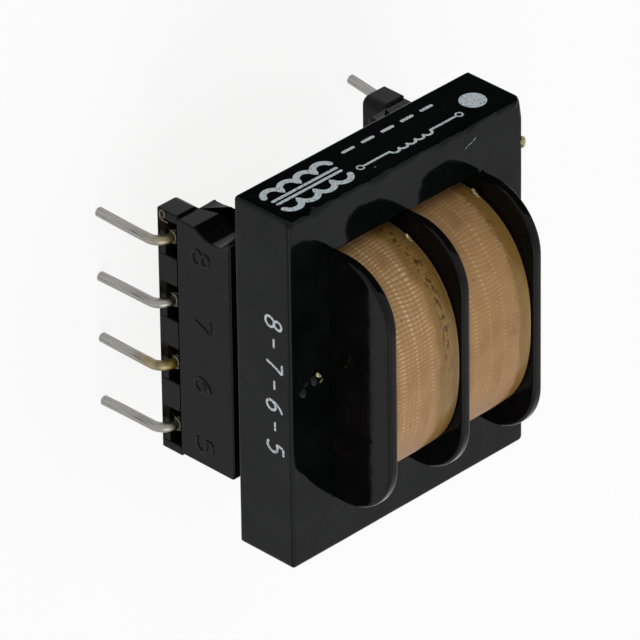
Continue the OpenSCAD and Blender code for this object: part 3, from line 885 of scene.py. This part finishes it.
# pinholes in the ink film, 0.05 mm on the real print, drawn at 0.2 mm
holes = add(tree, "TexNoise", {"Scale": 4500.0, "Detail": 2.0, "Roughness": 0.6}, {"Vector": place})
plug(tree, shader, {"Base Color": ramp(tree, holes, (0.32, "#5d666a"), (0.42, "#aab5ba"), (0.6, "#c3cdd2"))})
bump = add(tree, "Bump", {"Strength": 0.2, "Distance": 0.00002}, {"Height": holes})
plug(tree, shader, {"Normal": bump})
print("material:", ink.name)

# %% Marks on the long edge of the core
edge_y = 17.5225 * MM
coat_x = -14.3475 * MM
edge_right, edge_up = (-1, 0, 0), (0, 0, 1)
half_ring = np.stack([np.cos(np.linspace(np.pi, 0, 17)), np.sin(np.linspace(np.pi, 0, 17))], -1)


def loops(start, count, radius, flip=1):
    """A row of half circles of one radius, side by side."""
    return np.vstack([half_ring * [radius, radius * flip] + [start + radius * (2 * k + 1), 0]
                      for k in range(count)])


marks = []
symbol = [(loops(0, 4, 1.0) + [0, 3.55], 0.62), (loops(0, 4, 1.0, -1) + [0, 1.75], 0.62),
          (np.array([(0, 2.95), (8, 2.95)]), 0.34), (np.array([(0, 2.35), (8, 2.35)]), 0.34)]
for k, (line, wide) in enumerate(symbol):
    origin = (-4.95 * MM, edge_y, 10.6 * MM)
    marks.append(bead(f"symbol_{k}", even(line * MM, 0.12 * MM), wide * MM, 0.02 * MM, origin,
                      edge_right, edge_up))
print("marks:", len(marks))
symbol_mark = dress(merged("ink_symbol", marks), ink, "lamination")

# %% Winding line, bars and dot
rows = []
row_right = 8.1 * MM
winding_line = np.vstack([[(0.0, 0.0), (3.2, 0.0)], loops(3.2, 5, 0.5), [(8.2, 0.0), (11.4, 0.0)]])
rows.append(bead("row_winding", even(winding_line * MM, 0.08 * MM), 0.26 * MM, 0.02 * MM,
                 (row_right, edge_y, 14.4 * MM), edge_right, edge_up))
for k, at in enumerate((0.0, 11.4)):
    rows.append(bead(f"row_end{k}", even((ring_line * 0.32 + [at + (k * 2 - 1) * 0.36, 0]) * MM, 0.06 * MM),
                     0.16 * MM, 0.02 * MM, (row_right, edge_y, 14.4 * MM), edge_right, edge_up, closed=True))
for k, (start, end) in enumerate([(0.0, 1.6), (2.4, 4.0), (4.8, 6.4), (7.2, 8.8), (9.6, 11.2)]):
    rows.append(bead(f"row_bar{k}", even(np.array([(start, 0.0), (end, 0.0)]) * MM, 0.1 * MM),
                     0.36 * MM, 0.02 * MM, (row_right, edge_y, 11.6 * MM), edge_right, edge_up))
row_mark = dress(merged("ink_rows", rows), ink, "lamination")


def flat_dot(name, radius, height, centre, right, up):
    """A low disc: r from 0 to the radius, out = h * (1 - (r / R)^8), closed below."""
    right, up = np.array(right, float), np.array(up, float)
    a = np.linspace(0, 2 * np.pi, 49)
    r = np.r_[0, 0.3, 0.6, 0.85, 0.95, 1.0, 1.0, 0.0] * radius
    lift = np.r_[1, 1, 1, 0.85, 0.5, 0.0, -1.0, -1.0] * height
    points = (np.array(centre) + (r[:, None] * np.cos(a))[..., None] * right
              + (r[:, None] * np.sin(a))[..., None] * up
              + (lift[:, None] + 0 * a)[..., None] * np.cross(right, up))
    return skin(name, points)


dot_mark = dress(flat_dot("ink_dot", 1.25 * MM, 0.02 * MM, (11.0 * MM, edge_y, 13.6 * MM), edge_right, edge_up),
                 ink, "lamination")
print("rows:", len(rows))

# %% Pin numbers printed on the short side
side_marks = []
for number, y in ((8, 7.4), (7, 3.2), (6, -1.0), (5, -5.2)):
    side_marks.append(figure(f"print_{number}", str(number), 1.9 * MM, 0.26 * MM, 0.02 * MM,
                             (coat_x, y * MM, 13.4 * MM), (0, -1, 0), (0, 0, 1), slope=0.12))
for k, y in enumerate((5.2, 1.0, -3.2)):
    side_marks.append(bead(f"dash_{k}", even(np.array([(0, 0.0), (1.0, 0.0)]) * MM, 0.1 * MM),
                           0.24 * MM, 0.02 * MM, (coat_x, y * MM, 14.35 * MM), (0, -1, 0), (0, 0, 1)))
number_mark = dress(merged("ink_numbers", side_marks), ink, "lamination")
print("printed numbers: 4")

# %% [markdown]
# ## Low walls, drips and leftovers
# A low wall closes each pocket up to the pin; it keeps the varnish in while the part drains.
# It is one profile carried along the rail. Where varnish dripped and dried it left clear
# amber beads, and by one pin a loose glass thread has curled up. Such small things tell that
# a part was dipped and finished by hand, so each is a small closed surface of its own.

# %% Low walls in the pockets
def pocket_wall(name, number):
    """A five-cornered profile (x, z), each side split near its corners, carried along y between the pocket's
    ends.
    """
    side = 1 if number < 5 else -1
    corners = np.array([(12.97, 0.35), (13.94, 0.35), (13.94, 0.96), (13.55, 1.12), (12.97, 1.2)])
    share = np.array([0.0, 0.08, 0.92])[None, :, None]
    line = (corners[:, None] + (np.roll(corners, -1, 0) - corners)[:, None] * share).reshape(-1, 2)
    line = np.vstack([line, line[:1]])
    y = pin_rows[number] + np.array([-1.74, -1.74, -0.6, 0.6, 1.74, 1.74])
    size = np.array([0.0, 1.0, 1.0, 1.0, 1.0, 0.0])[:, None, None]
    flat = line.mean(0) + (line - line.mean(0)) * size
    points = np.concatenate([side * flat[..., :1], np.broadcast_to(y[:, None, None], flat[..., :1].shape),
                             flat[..., 1:]], -1)
    return skin(name, points * MM, smooth=False)


for number in pin_rows:
    dress(pocket_wall(f"pocket_wall_{number}", number), nylon, "former")
print("pocket walls:", len(pin_rows))

# %% Amber varnish drops
resin, tree, shader = finish("amber_varnish_drop", 0.08, ior=1.5)
place = add(tree, "TexCoord").outputs["Object"]
# streaks in the drop 0.1 mm wide on the real one, drawn at 0.25 mm
streak = add(tree, "TexNoise", {"Scale": 4000.0, "Detail": 2.0, "Distortion": 0.8}, {"Vector": place})
plug(tree, shader, {"Base Color": ramp(tree, streak, (0.35, "#4f431d"), (0.5, "#a39655"), (0.65, "#e2dcb8"))})
bump = add(tree, "Bump", {"Strength": 0.3, "Distance": 0.00008}, {"Height": streak})
plug(tree, shader, {"Normal": bump})


def drop(name, centre, right, up, sizes, lobes=0.12):
    """A bead: centre + a k cos t sin f * right + b k sin t sin f * up + c cos f * out.

    k = 1 + lobes sin(3 t + 1) gives it three soft lobes.
    """
    right, up = (np.array(v, float) / np.linalg.norm(v) for v in (right, up))
    out = np.cross(right, up)
    f, t = np.meshgrid(np.linspace(0, np.pi, 15), np.linspace(0, 2 * np.pi, 25), indexing="ij")
    k = 1 + lobes * np.sin(3 * t + 1)
    a, b, c = np.array(sizes) * MM
    points = (np.array(centre) * MM + (a * k * np.cos(t) * np.sin(f))[..., None] * right
              + (b * k * np.sin(t) * np.sin(f))[..., None] * up + (c * np.cos(f))[..., None] * out)
    return skin(name, points)


front = 16.31
dark_drops = [drop("lobe_a", (-11.35, 0.65, front), (1, 0.3, 0), (-0.3, 1, 0), (0.75, 0.6, 0.45)),
              drop("lobe_b", (-12.85, -0.05, front), (1, 0.6, 0), (-0.6, 1, 0), (0.55, 0.5, 0.4)),
              drop("lobe_c", (-12.1, 0.35, front), (1, 0.4, 0), (-0.4, 1, 0), (0.8, 0.5, 0.14)),
              drop("lobe_d", (8.9, 12.25, front), (1, 0, 0), (0, 1, 0), (0.2, 0.42, 0.16))]
dress(merged("varnish_drips", dark_drops), varnish, "lamination")
# the first two are pale amber specks on the black drip, a painted highlight where it catches the light; the
# third is a clear bead on the core's edge
core_drop_and_glints = [drop("gold_a", (-11.2, 1.0, front + 0.25), (1, -0.9, 0), (0.9, 1, 0), (0.4, 0.2, 0.2)),
               drop("gold_b", (-11.0, 0.4, front + 0.2), (1, 0.2, 0), (-0.2, 1, 0), (0.3, 0.18, 0.15)),
               drop("gold_edge", (14.42, 13.0, 16.22), (1, 0, -1), (0, 1, 0), (0.36, 0.58, 0.3))]
dress(merged("core_edge_drop_and_painted_glints", core_drop_and_glints), resin, "lamination")
tape_drops = [drop("gold_c", (-0.98, 10.62, 17.45), (0.35, -0.8, 0.6), (0.9, 0.4, 0.1), (0.5, 0.14, 0.16)),
              drop("gold_d", (7.93, 10.85, 16.85), (0.35, -0.8, 0.6), (0.9, 0.4, 0.1), (0.6, 0.15, 0.16))]
dress(merged("amber_drops_tape", tape_drops), resin, "tape")
print("drops:", len(dark_drops) + len(core_drop_and_glints) + len(tape_drops))

# %% A loose glass thread
loose, tree, shader = finish("loose_glass_thread", 0.5)
wrap = add(tree, "UVMap", {"uv_map": "wrap"}).outputs["UV"]
# filaments along the thread, 0.01 mm on the real one, drawn at 0.1 mm
spun = add(tree, "Mapping", {"Scale": (200.0, 1000.0, 1.0)}, {"Vector": wrap})
spun = add(tree, "TexNoise", {"Scale": 1.0, "Detail": 3.0}, {"Vector": spun})
dull = ramp(tree, spun, (0.3, "#3a3426"), (0.5, "#6e6448"), (0.7, "#a0956f"))
plug(tree, shader, {"Base Color": dull})
bump = add(tree, "Bump", {"Strength": 0.3, "Distance": 0.00002}, {"Height": spun.outputs["Fac"]})
plug(tree, shader, {"Normal": bump})
a = np.linspace(-0.6, 5.4, 13)
curl = np.stack([-14.05 - 0.04 * np.sin(a), 11.78 + 0.34 * np.cos(a), 0.74 + 0.34 * np.sin(a)], -1)
curl = np.vstack([curl, (-14.05, 11.45, 0.45), (-14.05, 11.2, 0.7), (-13.75, 10.9, 1.1)])
thread_piece = tube("glass_thread", flowing(curl * MM, 0.05 * MM), 0.05 * MM, (1.0, 0.02, 0.0), 10, 0.02 * MM)
dress(thread_piece, loose, "former")
# a fine scratch in the varnish shows as a dull raised burr
scratch_line = flowing([(0, 0), (0.45, 0.2), (0.95, 0.32), (1.35, 0.6)], 0.05) * MM
burr = bead("scratch_burr", scratch_line, 0.05 * MM, 0.01 * MM, (7.2 * MM, 15.4 * MM, front * MM),
            (1, 0, 0), (0, 1, 0))
dress(burr, ink, "lamination")
print("loose thread:", len(thread_piece.data.polygons), "faces")

# %% Moulded lip round each hollow
lip_angle = np.radians(np.linspace(-37, 34, 30))
for word, side in (("left", -1), ("right", 1)):
    arc = np.stack([np.cos(lip_angle), side * np.sin(lip_angle)], -1) * 3.72 * MM
    at = (side * wall, 14.75 * MM, 6.8 * MM)
    lip = bead("hollow_lip_" + word, arc, 0.24 * MM, 0.07 * MM, at, (0, -1, 0), (0, 0, -side))
    dress(lip, nylon, "former")
print("lips: 2")

# %% [markdown]
# ## The studio
# A pale floor under the pins and soft light from above and from the left give black gloss
# something bright to mirror. The world is plain white to the eye, to mirrors and to glass,
# and a little weaker as a lamp, so that a colour renders about as it is written.

# %% World
def seen_directly(tree):
    """1 for rays from the camera, from mirrors and through glass; 0 for light that falls on matt surfaces."""
    ray = add(tree, "LightPath")
    direct = add(tree, "Math", {"operation": "MAXIMUM"},
                 {0: ray.outputs["Is Camera Ray"], 1: ray.outputs["Is Glossy Ray"]})
    return add(tree, "Math", {"operation": "MAXIMUM"}, {0: direct, 1: ray.outputs["Is Transmission Ray"]})


world = bpy.data.worlds.new("studio")
world.use_nodes = True
scene.world = world
tree = world.node_tree
tree.nodes.clear()
direct = seen_directly(tree)
lamp_level = add(tree, "Background", {"Color": (1.0, 1.0, 1.0, 1.0), "Strength": 0.70})
seen_level = add(tree, "Background", {"Color": (1.0, 1.0, 1.0, 1.0), "Strength": 1.0})
both = add(tree, "MixShader", links={0: direct, 1: lamp_level, 2: seen_level})
add(tree, "OutputWorld", links={"Surface": both})
print("world:", world.name)

# %% Floor
paper, tree, shader = finish("white_paper", 0.9)
place = add(tree, "TexCoord").outputs["Object"]
pulp = add(tree, "TexNoise", {"Scale": 40.0, "Detail": 2.0}, {"Vector": place})
plug(tree, shader, {"Base Color": ramp(tree, pulp, (0.3, "#fafafa"), (0.7, "#ffffff"))})
# to the eye, mirrors and glass the paper is close to plain white and still shows the shadow
direct = seen_directly(tree)
share = add(tree, "Math", {"operation": "MULTIPLY", 1: 0.86}, {0: direct})
glow = add(tree, "Emission", {"Color": (1.0, 1.0, 1.0, 1.0), "Strength": 1.0})
both = add(tree, "MixShader", links={0: share, 1: shader, 2: glow})
surface = next(n for n in tree.nodes if n.type == "OUTPUT_MATERIAL")
plug(tree, surface, {"Surface": both})
floor_low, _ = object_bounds()
a = np.linspace(0, 2 * np.pi, 65)
r = np.array([0.0, 0.2, 0.6, 1.5])
disc = np.stack(np.broadcast_arrays(r[:, None] * np.cos(a), r[:, None] * np.sin(a), floor_low.z - 0.00001), -1)
floor = skin("floor", disc)
floor.data.materials.append(paper)
print("floor at z =", round(floor_low.z / MM, 3), "mm")

# %% Dark cards
# Black gloss looks deep only where it mirrors something dark. One card lies and one stands
# behind the part, out of view, where the long edge of the core mirrors them.
felt, tree, shader = finish("black_felt", 1.0)
place = add(tree, "TexCoord").outputs["Object"]
nap = add(tree, "TexNoise", {"Scale": 60.0, "Detail": 2.0}, {"Vector": place})
plug(tree, shader, {"Base Color": ramp(tree, nap, (0.3, "#0a0a0a"), (0.7, "#161616"))})
across, back = np.meshgrid(np.linspace(-12, 260, 13) * MM, np.linspace(24, 240, 7) * MM, indexing="ij")
low_card = skin("card_low", np.stack([across, back, np.full_like(across, floor_low.z + 0.0002)], -1))
turn, rise = np.meshgrid(np.radians(np.linspace(22, 72, 9)), np.linspace(-0.005, 0.2, 5), indexing="ij")
tall_card = skin("card_tall", np.stack([0.25 * np.cos(turn), 0.25 * np.sin(turn), rise], -1))
for card in (low_card, tall_card):
    card.data.materials.append(felt)
    card.visible_camera = card.visible_diffuse = card.visible_shadow = False
print("cards: 2")

# %% Lamps
def soft_lamp(name, place, size, power):
    """A square lamp at `place`, turned to look at the middle of the part."""
    data = bpy.data.lights.new(name, "AREA")
    data.shape, data.size, data.energy = "SQUARE", size, power
    lamp = bpy.data.objects.new(name, data)
    lamp.location = place
    lamp.rotation_mode = "QUATERNION"
    lamp.rotation_quaternion = (Vector((0, 0, 0.01)) - Vector(place)).to_track_quat("-Z", "Y")
    scene.collection.objects.link(lamp)
    return lamp


key = soft_lamp("key", (-0.35, -0.35, 0.7), 0.5, 1.4)
print("lamp:", key.data.energy, "W")
